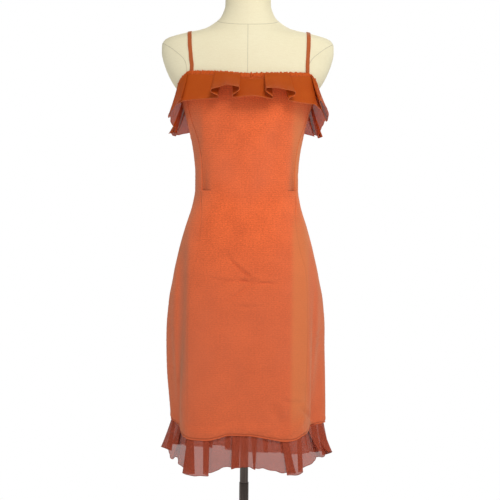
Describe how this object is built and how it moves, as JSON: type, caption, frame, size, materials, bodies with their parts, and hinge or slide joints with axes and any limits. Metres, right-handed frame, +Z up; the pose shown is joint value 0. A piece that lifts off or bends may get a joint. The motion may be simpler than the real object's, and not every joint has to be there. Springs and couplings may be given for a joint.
{
  "type": "sheath dress on a limbless dress form with its stand",
  "caption": "Strapped knitted sheath dress with box-pleated chiffon ruffles at the neckline and hem, worn by a limbless padded dress form on a pole stand with a round base.",
  "frame": {"origin": "centre of the stand's underside, on the floor", "axes": "+Z up the pole, -Y towards the front of the dress, +X to the right as seen from in front"},
  "size_m": [0.3977, 0.3314, 1.5],
  "materials": {
    "knit": "soft ribbed knit with a low sheen",
    "chiffon": "sheer crisp chiffon",
    "jersey": "matt cream jersey",
    "steel": "dark polished metal"
  },
  "bodies": {
    "root": {"front_centre": "knit", "side_front_left": "knit", "side_front_right": "knit", "back_left": "knit", "back_right": "knit", "strap_left": "knit", "strap_right": "knit", "binding_front": "chiffon", "binding_left": "chiffon", "binding_right": "chiffon", "binding_back": "chiffon", "bust_ruffle_front": "chiffon", "bust_ruffle_left": "chiffon", "bust_ruffle_right": "chiffon", "bust_ruffle_back": "chiffon", "hem_ruffle_front": "chiffon", "hem_ruffle_left": "chiffon", "hem_ruffle_right": "chiffon", "hem_ruffle_back": "chiffon", "form_torso": "jersey", "form_flange": "steel", "form_collar": "steel", "pole": "steel", "pole_sleeve": "steel", "base_collar": "steel", "base_plate": "steel"}
  },
  "joints": []
}
